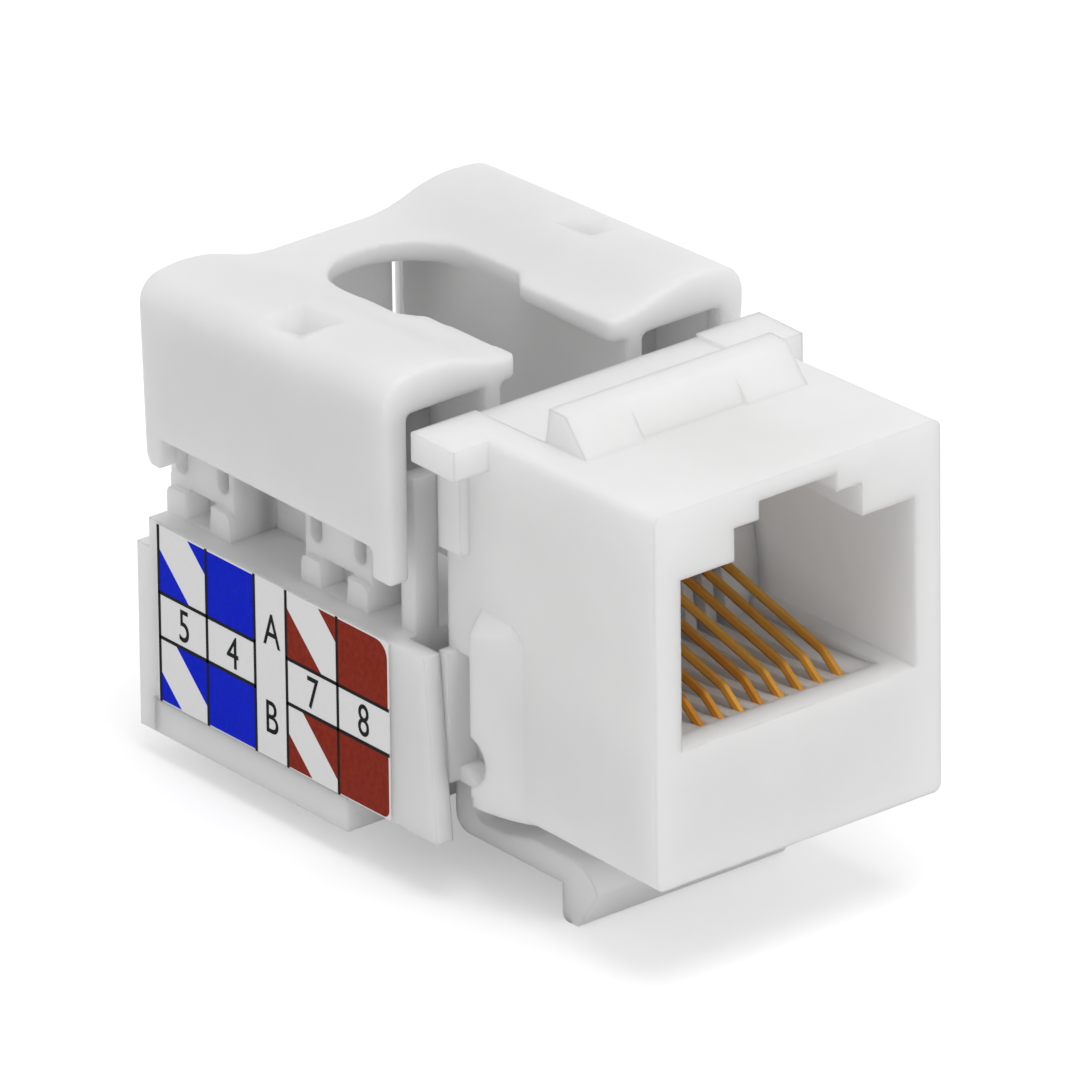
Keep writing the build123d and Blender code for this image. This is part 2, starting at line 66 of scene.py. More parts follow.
MM = 0.001
ORIGIN_DEPTH = 15.6
ORIGIN_HEIGHT = 20.9
NOISE_RANGE = (0.3, 0.7)
BEVEL_SAMPLES = 4


def to_frame(x: float, y: float, z: float) -> Vector:
    """A point of the design frame, in millimetres, as a point of the part frame in metres."""
    return Vector((x, y - ORIGIN_DEPTH, z + ORIGIN_HEIGHT)) * MM


class Side(Enum):
    """The two long sides of the terminal block."""

    LEFT = -1
    RIGHT = 1


class Body(Enum):
    """The two bodies that move against each other."""

    JACK = "jack"
    CAP = "cap"


# Finishes


class ShaderTree:
    """Node tree of one new material, built node by node."""

    def __init__(self, name: str) -> None:
        """Make the material with an empty tree.

        Args:
            name: Name of the material.
        """
        self.material = bpy.data.materials.new(name)
        self.material.use_nodes = True
        self.tree = self.material.node_tree
        self.tree.nodes.clear()

    def node(self, kind: str, sockets: dict[str, object] | None = None, **settings: object) -> bpy.types.Node:
        """Add a node, set its properties, and set or link its inputs.

        Args:
            kind: Blender's name of the node type.
            sockets: Input names with either a value or an output socket to link.
            settings: Properties of the node itself.

        Returns:
            The new node.
        """
        made = self.tree.nodes.new(kind)
        for name, value in settings.items():
            setattr(made, name, value)
        for name, value in (sockets or {}).items():
            if isinstance(value, Socket):
                self.tree.links.new(value, made.inputs[name])
            else:
                made.inputs[name].default_value = value
        return made

    def coordinates(self, stretch: Point3 = (1.0, 1.0, 1.0)) -> Socket:
        """Object coordinates, stretched along the axes.

        Args:
            stretch: Factor of each axis.

        Returns:
            The vector output of the mapping.
        """
        place = self.node("ShaderNodeTexCoord").outputs["Object"]
        return self.node("ShaderNodeMapping", {"Vector": place, "Scale": stretch}).outputs["Vector"]

    def noise(self, vector: Socket, per_metre: float, detail: float = 2.0) -> Socket:
        """Noise between 0 and 1.

        Args:
            vector: Coordinates that it reads.
            per_metre: How many waves it has in a metre.
            detail: Octaves of finer noise in it.

        Returns:
            The factor output of the noise.
        """
        found = self.node("ShaderNodeTexNoise", {"Vector": vector, "Scale": per_metre, "Detail": detail})
        return found.outputs["Fac"]

    def blend(self, factor: Socket, low: Colour, high: Colour, spread: float = 0.2) -> Socket:
        """Colour that runs between two tones.

        Args:
            factor: Value that picks the tone.
            low: Tone at the low end.
            high: Tone at the high end.
            spread: Half the range of the factor over which the tone changes.

        Returns:
            The colour output of the ramp.
        """
        ramp = self.node("ShaderNodeValToRGB", {"Fac": factor})
        first, last = ramp.color_ramp.elements
        first.position = 0.5 - spread
        first.color = (*low, 1.0)
        last.position = 0.5 + spread
        last.color = (*high, 1.0)
        return ramp.outputs["Color"]

    def band(self, factor: Socket, low: float, high: float) -> Socket:
        """Value of the middle of a noise, stretched to run between two limits.

        Args:
            factor: Noise between 0 and 1.
            low: Value at the low end of NOISE_RANGE.
            high: Value at its high end.

        Returns:
            The result output.
        """
        start, end = NOISE_RANGE
        sockets = {"Value": factor, "From Min": start, "From Max": end, "To Min": low, "To Max": high}
        return self.node("ShaderNodeMapRange", sockets).outputs["Result"]

    def relief(self, height: Socket, depth: float, normal: Socket) -> Socket:
        """Bump of a given depth over another normal.

        Args:
            height: Height between 0 and 1.
            depth: Depth of the bump in metres.
            normal: Normal that the bump changes.

        Returns:
            The changed normal.
        """
        sockets = {"Height": height, "Distance": depth, "Strength": 1.0, "Normal": normal}
        return self.node("ShaderNodeBump", sockets).outputs["Normal"]

    def softened(self, radius: float) -> Socket:
        """Normal with its edges rounded by a radius in metres."""
        return self.node("ShaderNodeBevel", {"Radius": radius}, samples=BEVEL_SAMPLES).outputs["Normal"]

    def finish(self, sockets: dict[str, object]) -> bpy.types.Material:
        """Close the tree with its shader.

        Args:
            sockets: Inputs of the shader.

        Returns:
            The finished material.
        """
        shader = self.node("ShaderNodeBsdfPrincipled", sockets)
        output = self.node("ShaderNodeOutputMaterial")
        self.tree.links.new(shader.outputs["BSDF"], output.inputs["Surface"])
        return self.material


@dataclass(frozen=True)
class MouldedPlastic:
    """Injection-moulded plastic with a fine spark-eroded grain and softly broken edges.

    The drift of its colour, the polish and the sink marks are counted in waves to the metre.
    """

    name: str
    light: Colour
    shade: Colour
    roughness: Point2 = (0.42, 0.55)
    drift: float = 130.0
    polish: float = 420.0
    sink: float = 260.0
    sink_depth: float = 0.02 * MM
    grain_size: float = 0.12 * MM
    grain_depth: float = 0.004 * MM
    edge: float = 0.14 * MM
    specular: float = 0.4
    translucence: float = 0.8
    light_depth: float = 2.2 * MM

    def material(self) -> bpy.types.Material:
        """Build the material.

        Returns:
            The material with its colour drift, its roughness and its grain.
        """
        tree = ShaderTree(self.name)
        place = tree.coordinates()
        drift = tree.noise(place, self.drift, 3.0)
        polish = tree.noise(place, self.polish, 3.0)
        grain = tree.noise(place, 1.0 / self.grain_size, 4.0)
        sink = tree.noise(place, self.sink, 1.0)
        edges = tree.softened(self.edge)
        flow = tree.relief(sink, self.sink_depth, edges)
        return tree.finish({
            "Base Color": tree.blend(drift, self.shade, self.light),
            "Roughness": tree.band(polish, *self.roughness),
            "Specular IOR Level": self.specular,
            "Subsurface Weight": self.translucence,
            "Subsurface Radius": (1.0, 1.0, 1.0),
            "Subsurface Scale": self.light_depth,
            "Normal": tree.relief(grain, self.grain_depth, flow),
        })


@dataclass(frozen=True)
class PlatedMetal:
    """Drawn or stamped metal with plating that varies in tone along its length.

    The plating's tones and the drawing lines are counted in waves to the metre.
    """

    name: str
    light: Colour
    shade: Colour
    roughness: Point2
    metallic: float = 1.0
    stretch: Point3 = (1.0, 0.12, 0.3)
    plating: float = 900.0
    lines: float = 9000.0
    line_depth: float = 0.004 * MM
    tone_spread: float = 0.16
    edge: float = 0.03 * MM

    def material(self) -> bpy.types.Material:
        """Build the material.

        Returns:
            The material with its plating tones and its drawing lines.
        """
        tree = ShaderTree(self.name)
        along = tree.coordinates(self.stretch)
        plating = tree.noise(along, self.plating, 3.0)
        lines = tree.noise(along, self.lines, 3.0)
        return tree.finish({
            "Base Color": tree.blend(plating, self.shade, self.light, self.tone_spread),
            "Metallic": self.metallic,
            "Roughness": tree.band(lines, *self.roughness),
            "Normal": tree.relief(lines, self.line_depth, tree.softened(self.edge)),
        })


@dataclass(frozen=True)
class GlassLaminate:
    """Woven circuit-board laminate under its solder mask."""

    name: str
    light: Colour
    shade: Colour
    roughness: Point2 = (0.3, 0.42)
    weave: float = 0.5 * MM
    weave_depth: float = 0.006 * MM
    cloud: float = 300.0
    edge: float = 0.05 * MM

    def material(self) -> bpy.types.Material:
        """Build the material.

        Returns:
            The material with the weave that shows through the mask.
        """
        tree = ShaderTree(self.name)
        place = tree.coordinates()
        turns = 1.0 / self.weave
        warp = tree.node("ShaderNodeTexWave", {"Vector": place, "Scale": turns}, bands_direction="X")
        weft = tree.node("ShaderNodeTexWave", {"Vector": place, "Scale": turns}, bands_direction="Y")
        threads = {0: warp.outputs["Fac"], 1: weft.outputs["Fac"]}
        cross = tree.node("ShaderNodeMath", threads, operation="MULTIPLY")
        cloud = tree.noise(place, self.cloud)
        return tree.finish({
            "Base Color": tree.blend(cloud, self.shade, self.light),
            "Roughness": tree.band(cloud, *self.roughness),
            "Normal": tree.relief(cross.outputs[0], self.weave_depth, tree.softened(self.edge)),
        })


@dataclass(frozen=True)
class PrintedLayer:
    """Label film or the ink on it: an even coat with slight mottling and a satin surface."""

    name: str
    light: Colour
    shade: Colour
    roughness: Point2 = (0.45, 0.55)
    specular: float = 0.05
    mottle: float = 0.25 * MM
    mottle_depth: float = 0.003 * MM
    waves: float = 500.0

    def material(self) -> bpy.types.Material:
        """Build the material.

        Returns:
            The material with its mottled coat.
        """
        tree = ShaderTree(self.name)
        place = tree.coordinates()
        mottling = tree.noise(place, 1.0 / self.mottle, 4.0)
        waves = tree.noise(place, self.waves)
        level = tree.node("ShaderNodeNewGeometry").outputs["Normal"]
        return tree.finish({
            "Base Color": tree.blend(mottling, self.shade, self.light),
            "Roughness": tree.band(waves, *self.roughness),
            "Specular IOR Level": self.specular,
            "Normal": tree.relief(mottling, self.mottle_depth, level),
        })


class Palette:
    """Every finish of the jack, made once."""

    def __init__(self) -> None:
        """Make the materials."""
        white, dull = (0.9, 0.9, 0.898), (0.84, 0.84, 0.838)
        self.housing = MouldedPlastic("housing_white", white, dull, edge=0.24 * MM).material()
        self.block = MouldedPlastic("block_white", white, dull, edge=0.16 * MM).material()
        self.cover = MouldedPlastic("cover_white", white, dull, edge=0.2 * MM).material()
        self.cap = MouldedPlastic("cap_white", white, dull, (0.36, 0.48), edge=0.2 * MM).material()
        self.carrier = MouldedPlastic("carrier_white", white, dull, edge=0.06 * MM).material()
        self.board = GlassLaminate("board_mask", (0.03, 0.16, 0.06), (0.02, 0.11, 0.045)).material()
        self.gold = PlatedMetal(
            "gold_plate", (0.74, 0.39, 0.07), (0.52, 0.21, 0.028), (0.38, 0.52), metallic=0.9
        ).material()
        self.tin = PlatedMetal("tin_plate", (0.72, 0.71, 0.68), (0.58, 0.57, 0.55), (0.25, 0.4)).material()
        self.film = PrintedLayer(
            "film_white", (0.87, 0.87, 0.87), (0.85, 0.85, 0.852), specular=0.4
        ).material()
        self.inks = {
            Ink.BLUE: PrintedLayer("ink_blue", (0.0005, 0.017, 0.68), (0.0005, 0.012, 0.57)).material(),
            Ink.BROWN: PrintedLayer("ink_brown", (0.30, 0.030, 0.012), (0.22, 0.018, 0.008)).material(),
            Ink.GREEN: PrintedLayer("ink_green", (0.008, 0.28, 0.05), (0.006, 0.22, 0.04)).material(),
            Ink.ORANGE: PrintedLayer("ink_orange", (0.85, 0.2, 0.008), (0.75, 0.16, 0.006)).material(),
            Ink.BLACK: PrintedLayer("ink_black", (0.012, 0.012, 0.013), (0.008, 0.008, 0.009)).material(),
        }


class Ink(Enum):
    """Inks of the wiring charts."""

    BLUE = "blue"
    BROWN = "brown"
    GREEN = "green"
    ORANGE = "orange"
    BLACK = "black"


# Modelling by hand


class Bench:
    """The hand tools that the pieces share."""

    ROUND_SEGMENTS = 6
    WELD = 0.0005

    @staticmethod
    def clear() -> None:
        """Leave edit mode and select nothing."""
        if bpy.context.object and bpy.context.object.mode != "OBJECT":
            bpy.ops.object.mode_set(mode="OBJECT")
        bpy.ops.object.select_all(action="DESELECT")

    @staticmethod
    def take(piece: bpy.types.Object) -> None:
        """Select one piece alone and make it the active one.

        Args:
            piece: The piece.
        """
        Bench.clear()
        bpy.context.view_layer.objects.active = piece
        piece.select_set(True)

    @staticmethod
    def sheet(low: Point2, high: Point2) -> bpy.types.Object:
        """Add a flat sheet between two corners, in millimetres, on the ground plane.

        Args:
            low: Its lowest corner.
            high: Its highest corner.

        Returns:
            The sheet, with its size in its mesh.
        """
        Bench.clear()
        centre = ((low[0] + high[0]) / 2, (low[1] + high[1]) / 2, 0.0)
        bpy.ops.mesh.primitive_plane_add(size=1.0, location=centre)
        made = bpy.context.object
        made.scale = (high[0] - low[0], high[1] - low[1], 1.0)
        bpy.ops.object.transform_apply(location=True, rotation=True, scale=True)
        return made

    @staticmethod
    def trim(piece: bpy.types.Object, edge: Edge, keep_left: bool) -> None:
        """Cut a flat sheet along a line and keep one side of it.

        Args:
            piece: The sheet.
            edge: Two points of the line.
            keep_left: Whether the side on the left of the line, seen from the first point, stays.
        """
        (x0, y0), (x1, y1) = edge
        Bench.take(piece)
        bpy.ops.object.mode_set(mode="EDIT")
        bpy.ops.mesh.select_all(action="SELECT")
        bpy.ops.mesh.bisect(
            plane_co=(x0, y0, 0.0), plane_no=(y0 - y1, x1 - x0, 0.0),
            clear_inner=keep_left, clear_outer=not keep_left, use_fill=False,
        )
        bpy.ops.object.mode_set(mode="OBJECT")

    @staticmethod
    def round_corner(piece: bpy.types.Object, corner: Point2, radius: float) -> None:
        """Round one corner of a flat sheet.

        Args:
            piece: The sheet.
            corner: The corner's place.
            radius: Radius of the round.
        """
        Bench.take(piece)
        place = Vector((*corner, 0.0))
        nearest = min(piece.data.vertices, key=lambda vertex: (vertex.co - place).length)
        for element in (*piece.data.vertices, *piece.data.edges, *piece.data.polygons):
            element.select = False
        nearest.select = True
        bpy.ops.object.mode_set(mode="EDIT")
        bpy.ops.mesh.select_mode(type="VERT")
        bpy.ops.mesh.bevel(offset=radius, segments=Bench.ROUND_SEGMENTS, affect="VERTICES")
        bpy.ops.object.mode_set(mode="OBJECT")

    @staticmethod
    def thicken(piece: bpy.types.Object, thickness: float) -> None:
        """Extrude a flat sheet upwards and turn its faces outwards.

        Args:
            piece: The sheet.
            thickness: How far it rises, in millimetres.
        """
        Bench.take(piece)
        bpy.ops.object.mode_set(mode="EDIT")
        bpy.ops.mesh.select_all(action="SELECT")
        bpy.ops.mesh.remove_doubles(threshold=Bench.WELD)
        bpy.ops.mesh.extrude_region_move(TRANSFORM_OT_translate={"value": (0.0, 0.0, thickness)})
        bpy.ops.mesh.select_all(action="SELECT")
        bpy.ops.mesh.normals_make_consistent(inside=False)
        bpy.ops.object.mode_set(mode="OBJECT")

    @staticmethod
    def join(pieces: list[bpy.types.Object], name: str) -> bpy.types.Object:
        """Join several pieces into one.

        Args:
            pieces: The pieces.
            name: Name of the result.

        Returns:
            The joined piece.
        """
        Bench.clear()
        for piece in pieces:
            piece.select_set(True)
        bpy.context.view_layer.objects.active = pieces[0]
        if len(pieces) > 1:
            bpy.ops.object.join()
        joined = bpy.context.object
        joined.name = name
        joined.data.name = name
        return joined

    @staticmethod
    def coat(piece: bpy.types.Object, material: bpy.types.Material) -> None:
        """Give a piece one material."""
        piece.data.materials.clear()
        piece.data.materials.append(material)


# Pieces


@dataclass
class Dressing:
    """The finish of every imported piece."""

    palette: Palette
    plain: dict[str, str] = field(default_factory=lambda: {
        "port_housing": "housing",
        "terminal_block": "block",
        "base_cover": "cover",
        "dust_cap": "cap",
        "contact_carrier": "carrier",
        "circuit_board": "board",
    })
    families: dict[str, str] = field(default_factory=lambda: {
        "contact_wire": "gold",
        "blade": "tin",
        "wiring_chart": "film",
    })

    def finish_of(self, name: str) -> bpy.types.Material:
        """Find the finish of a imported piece.

        Args:
            name: The piece's name.

        Returns:
            Its material.
        """
        if name in self.plain:
            return getattr(self.palette, self.plain[name])
        family = next(start for start in self.families if name.startswith(start))
        return getattr(self.palette, self.families[family])

    def build(self, nodes: dict[str, bpy.types.Object]) -> None:
        """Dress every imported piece.

        Args:
            nodes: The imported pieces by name.
        """
        for name, piece in sorted(nodes.items()):
            finish = self.finish_of(name)
            for slot in piece.material_slots:
                slot.material = finish
            LOG.info("%s has the finish %s", name, finish.name)


@dataclass
class DustCap:
    """Skin of the cap: its solid with every edge softened, flush walls and pyramid-shaped dimples."""

    palette: Palette
    wall_rear: float = 28.6
    wall_corners: tuple[Point3, ...] = ((3.2, 0.3, 0.119), (4.0, 0.3, 0.285))
    pocket_centre: Point2 = (7.4, 22.0)
    pocket_floor: float = 0.78
    pocket_reach: float = 1.2
    dimple_centre: Point2 = (7.4, 21.6)
    dimple_half: Point2 = (1.22, 1.38)
    dimple_depth: float = 0.67
    top_layer: float = 0.4
    reach: float = 0.02
    weld: float = 0.002
    grid: float = 0.12
    smooth_factor: float = 0.5
    smooth_rounds: int = 4
    thinning: float = 0.4

    def copy_of(self, node: bpy.types.Object) -> bpy.types.Object:
        """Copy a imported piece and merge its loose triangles.

        Args:
            node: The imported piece.

        Returns:
            The copy, selected and active.
        """
        skin = bpy.data.objects.new("cap_skin", node.data.copy())
        skin.data.name = "cap_skin"
        bpy.context.scene.collection.objects.link(skin)
        Bench.take(skin)
        bpy.ops.mesh.customdata_custom_splitnormals_clear()
        self.merge()
        return skin

    def merge(self) -> None:
        """Merge the points of the active piece that lie closer than the weld distance."""
        bpy.ops.object.mode_set(mode="EDIT")
        bpy.ops.mesh.select_all(action="SELECT")
        bpy.ops.mesh.remove_doubles(threshold=self.weld * MM)
        bpy.ops.mesh.dissolve_degenerate(threshold=self.weld * MM)
        bpy.ops.object.mode_set(mode="OBJECT")

    def lay_corners(self, skin: bpy.types.Object) -> None:
        """Lower the proud rear corners of the inner walls onto the top of the cap.

        Args:
            skin: The copy of the cap.
        """
        for side in Side:
            for across, proud, level in self.wall_corners:
                corner = to_frame(side.value * across, self.wall_rear, proud)
                for vertex in skin.data.vertices:
                    if (vertex.co - corner).length < self.reach * MM:
                        vertex.co = to_frame(side.value * across, self.wall_rear, level)

    def level_pockets(self, skin: bpy.types.Object) -> None:
        """Raise the floors of the flat pockets to their rims.

        Args:
            skin: The copy of the cap.
        """
        for side in Side:
            across, depth = self.pocket_centre
            centre = to_frame(side.value * across, depth, self.pocket_floor)
            near = [v for v in skin.data.vertices if (v.co - centre).xy.length < self.pocket_reach * MM]
            floor = [v for v in near if abs(v.co.z - centre.z) < self.reach * MM]
            rim = [v for v in near if v.co.z > centre.z + self.reach * MM]
            for vertex in floor:
                vertex.co.z = min(rim, key=lambda other: (other.co - vertex.co).xy.length).co.z

    def press_dimples(self, skin: bpy.types.Object) -> None:
        """Press a dimple like an upturned pyramid into the top of each rail.

        Args:
            skin: The skin, already on its even grid.
        """
        half_x, half_y = (half * MM for half in self.dimple_half)
        for side in Side:
            across, depth = self.dimple_centre
            centre = to_frame(side.value * across, depth, 0.0)
            near = []
            for vertex in skin.data.vertices:
                off = vertex.co - centre
                rim = max(abs(off.x) / half_x, abs(off.y) / half_y)
                if rim < 1.0 and off.z > 0.0:
                    near.append((vertex, rim))
            crest = max(vertex.co.z for vertex, _ in near)
            for vertex, rim in near:
                if vertex.co.z > crest - self.top_layer * MM:
                    vertex.co.z -= (1.0 - rim) * self.dimple_depth * MM

    def soften(self, skin: bpy.types.Object) -> None:
        """Put the skin on an even grid, press the dimples, round its edges and thin it again.

        Args:
            skin: The copy of the cap, selected and active.
        """
        remesh = skin.modifiers.new("even_grid", "REMESH")
        remesh.mode = "VOXEL"
        remesh.voxel_size = self.grid * MM
        bpy.ops.object.modifier_apply(modifier=remesh.name)
        self.press_dimples(skin)
        smooth = skin.modifiers.new("soft_edges", "SMOOTH")
        smooth.factor = self.smooth_factor
        smooth.iterations = self.smooth_rounds
        bpy.ops.object.modifier_apply(modifier=smooth.name)
        thin = skin.modifiers.new("thin", "DECIMATE")
        thin.ratio = self.thinning
        bpy.ops.object.modifier_apply(modifier=thin.name)
        bpy.ops.object.shade_smooth()

    def build(self, node: bpy.types.Object) -> None:
        """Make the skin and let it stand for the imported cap.

        Args:
            node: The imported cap.
        """
        skin = self.copy_of(node)
        self.lay_corners(skin)
        self.level_pockets(skin)
        self.merge()
        self.soften(skin)
        Bench.coat(skin, self.palette.cap)
        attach(skin, Body.CAP.value)
        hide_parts(node.name)
        LOG.info("%s stands for %s with %d faces", skin.name, node.name, len(skin.data.polygons))


REAR_COLUMNS = (29.75, 26.68, 23.6)
FRONT_COLUMNS = (21.57, 18.33, 15.15)
UPPER_ROW = (-10.35, -13.25)
LOWER_ROW = (-15.22, -18.0)
REAR_STRIPES = (
    (((29.61, -11.40), (27.86, -13.08)), ((27.94, -10.26), (26.61, -11.60))),
    (((29.77, -16.67), (28.49, -17.98)), ((28.73, -15.26), (26.71, -17.50))),
)
FRONT_STRIPES = (
    (((21.50, -11.04), (19.50, -13.16)), ((19.51, -10.33), (18.27, -11.47))),
    (((21.49, -16.55), (20.26, -18.07)), ((20.51, -15.37), (18.40, -17.72))),
)
FRONT_ROUNDS = (0.7, 0.35)
GLYPH_PLACES = (
    (28.17, -14.24), (25.05, -14.24), (22.5, -12.39), (22.55, -16.24), (19.9, -14.24), (16.7, -14.24),
)


@dataclass(frozen=True)
class Cell:
    """One printed field with its bare stripe and its rounded front corners."""

    ink: Ink
    columns: Point2
    rows: Point2
    stripe: Stripe | None = None
    round_above: float = 0.0
    round_below: float = 0.0


@dataclass(frozen=True)
class Glyph:
    """One figure or letter of a chart with the place of its centre."""

    text: str
    y: float
    z: float


@dataclass
class WiringChart:
    """Colour fields, rules and figures printed on the film of one side."""

    side: Side
    palette: Palette
    cells: list[Cell]
    glyphs: list[Glyph]
    face: float = 8.51
    ink_depth: float = 0.008
    rule_depth: float = 0.014
    rule_width: float = 0.15
    glyph_height: float = 1.4
    glyph_squeeze: float = 0.78
    font_size: float = 2.0
    curve_steps: int = 6

    def across(self, y: float) -> float:
        """Position along the reading direction of a point at depth y."""
        return y * self.side.value

    def name_of(self, what: str) -> str:
        """Name of one printed piece of this chart."""
        return f"chart_{self.side.name.lower()}_{what}"

    def cut_field(self, cell: Cell) -> list[bpy.types.Object]:
        """Cut one colour field out of a sheet.

        Args:
            cell: The field.

        Returns:
            One flat piece, or two where a bare stripe parts it.
        """
        across = sorted(self.across(y) for y in cell.columns)
        low, high = (across[0], min(cell.rows)), (across[1], max(cell.rows))
        if cell.stripe is None:
            piece = Bench.sheet(low, high)
            front = self.across(min(cell.columns))
            if cell.round_above:
                Bench.round_corner(piece, (front, max(cell.rows)), cell.round_above)
            if cell.round_below:
                Bench.round_corner(piece, (front, min(cell.rows)), cell.round_below)
            return [piece]
        made = []
        for edge, keep_left in zip(cell.stripe, (False, True)):
            piece = Bench.sheet(low, high)
            start, end = sorted((self.across(y), z) for y, z in edge)
            Bench.trim(piece, (start, end), keep_left)
            made.append(piece)
        return made

    def print_fields(self) -> list[bpy.types.Object]:
        """Make the colour fields, one piece for each ink.

        Returns:
            The pieces, still flat on the ground plane.
        """
        made = []
        for ink in Ink:
            flats = [flat for cell in self.cells if cell.ink is ink for flat in self.cut_field(cell)]
            if not flats:
                continue
            piece = Bench.join(flats, self.name_of(ink.value))
            Bench.thicken(piece, self.ink_depth)
            Bench.coat(piece, self.palette.inks[ink])
            made.append(piece)
        return made

    def rule(self, start: Point2, end: Point2) -> bpy.types.Object:
        """Make one straight rule, level or upright.

        Args:
            start: One end, as across and up.
            end: The other end.

        Returns:
            The flat rule.
        """
        half = self.rule_width / 2
        low = (min(start[0], end[0]) - half, min(start[1], end[1]) - half)
        high = (max(start[0], end[0]) + half, max(start[1], end[1]) + half)
        return Bench.sheet(low, high)

    def print_rules(self) -> bpy.types.Object:
        """Make the black rules between the fields.

        Returns:
            The rules as one piece.
        """
        (top, upper), (lower, bottom) = UPPER_ROW, LOWER_ROW
        flats = []
        for y in (*REAR_COLUMNS, *FRONT_COLUMNS[:-1]):
            flats.append(self.rule((self.across(y), top), (self.across(y), bottom)))
        for z in (upper, lower):
            for rear, _, front in (REAR_COLUMNS, FRONT_COLUMNS):
                flats.append(self.rule((self.across(rear), z), (self.across(front), z)))
        piece = Bench.join(flats, self.name_of("rules"))
        Bench.thicken(piece, self.rule_depth)
        Bench.coat(piece, self.palette.inks[Ink.BLACK])
        return piece

    def print_glyph(self, glyph: Glyph) -> bpy.types.Object:
        """Make one figure or letter, centred on its place.

        Args:
            glyph: The figure and its place.

        Returns:
            The figure, still flat on the ground plane.
        """
        Bench.clear()
        bpy.ops.object.text_add()
        made = bpy.context.object
        made.data.body = glyph.text
        made.data.size = self.font_size
        made.data.extrude = self.rule_depth / 2
        made.data.resolution_u = self.curve_steps
        bpy.ops.object.convert(target="MESH")
        made = bpy.context.object
        xs = [v.co.x for v in made.data.vertices]
        ys = [v.co.y for v in made.data.vertices]
        scale = self.glyph_height / (max(ys) - min(ys))
        middle = (-(max(xs) + min(xs)) / 2, -(max(ys) + min(ys)) / 2, self.rule_depth / 2)
        size = Matrix.Diagonal((scale * self.glyph_squeeze, scale, 1.0, 1.0))
        place = Matrix.Translation((self.across(glyph.y), glyph.z, 0.0))
        made.data.transform(place @ size @ Matrix.Translation(middle))
        return made

    def print_glyphs(self) -> bpy.types.Object:
        """Make all figures and letters of the chart.

        Returns:
            The figures as one piece.
        """
        piece = Bench.join([self.print_glyph(glyph) for glyph in self.glyphs], self.name_of("figures"))
        Bench.coat(piece, self.palette.inks[Ink.BLACK])
        return piece

    def stick(self, piece: bpy.types.Object) -> None:
        """Move a flat piece from the ground plane onto the film.

        Args:
            piece: The flat piece, with across along x and up along y.
        """
        side = self.side.value
        piece.data.transform(Matrix((
            (0.0, 0.0, side * MM, side * self.face * MM),
            (side * MM, 0.0, 0.0, -ORIGIN_DEPTH * MM),
            (0.0, MM, 0.0, ORIGIN_HEIGHT * MM),
            (0.0, 0.0, 0.0, 1.0),
        )))
        piece.data.update()
        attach(piece, Body.JACK.value)

    def build(self) -> None:
        """Print the whole chart and stick it on its film."""
        for piece in [*self.print_fields(), self.print_rules(), self.print_glyphs()]:
            self.stick(piece)
            LOG.info("%s is on its film", piece.name)


def chart_pair(
    upper: Ink, lower: Ink, columns: Point3, stripes: tuple[Stripe, Stripe], rounds: Point2 = (0.0, 0.0)
) -> list[Cell]:
    """Lay out one pair of wires: a striped field beside a solid one, above and below the figures.

    Args:
        upper: Ink of the upper row.
        lower: Ink of the lower row.
        columns: Limits of the striped and the solid field, from rear to front.
        stripes: Edges of the bare stripe in the upper and in the lower field.
        rounds: Radii of the front upper and the front lower corner, 0 for a square one.

    Returns:
        The four fields.
    """
    rear, middle, front = columns
    return [
        Cell(upper, (rear, middle), UPPER_ROW, stripes[0]),
        Cell(upper, (middle, front), UPPER_ROW, round_above=rounds[0]),
        Cell(lower, (rear, middle), LOWER_ROW, stripes[1]),
        Cell(lower, (middle, front), LOWER_ROW, round_below=rounds[1]),
    ]


def print_charts(palette: Palette) -> None:
    """Print the charts of both sides.

    Args:
        palette: The finishes.
    """
    for side, rear, front, figures in (
        (Side.LEFT, (Ink.BLUE, Ink.BLUE), (Ink.BROWN, Ink.BROWN), "54AB78"),
        (Side.RIGHT, (Ink.GREEN, Ink.ORANGE), (Ink.ORANGE, Ink.GREEN), "12AB36"),
    ):
        cells = [
            *chart_pair(*rear, REAR_COLUMNS, REAR_STRIPES),
            *chart_pair(*front, FRONT_COLUMNS, FRONT_STRIPES, FRONT_ROUNDS),
        ]
        glyphs = [Glyph(text, *place) for text, place in zip(figures, GLYPH_PLACES)]
        WiringChart(side, palette, cells, glyphs).build()


# Stage


@dataclass
class PhotoCamera:
    """Long lens at the photograph's viewing angle."""

    azimuth: float = -38.88178
    elevation: float = 24.83417
    roll: float = -0.69031
    lens: float = 631.2
    sensor: float = 36.0
    near: float = 0.01
    centre: Point3 = (-0.427591, -0.529857, 0.327451)

    def build(self) -> None:
        """Add the camera and make it the scene's own."""
        azimuth, elevation, roll = (math.radians(v) for v in (self.azimuth, self.elevation, self.roll))
        flat = math.cos(elevation)
        look = Vector((-math.sin(azimuth) * flat, math.cos(azimuth) * flat, -math.sin(elevation)))
        level = Vector((math.cos(azimuth), math.sin(azimuth), 0.0))
        rise = level.cross(look)
        right = level * math.cos(roll) + rise * math.sin(roll)
        up = rise * math.cos(roll) - level * math.sin(roll)
        data = bpy.data.cameras.new("photo_camera")
        data.sensor_width = self.sensor
        data.lens = self.lens
        data.clip_start = self.near
        camera = bpy.data.objects.new("photo_camera", data)
        turn = Matrix((right, up, -look)).transposed().to_4x4()
        camera.matrix_world = Matrix.Translation(self.centre) @ turn
        bpy.context.scene.collection.objects.link(camera)
        bpy.context.scene.camera = camera


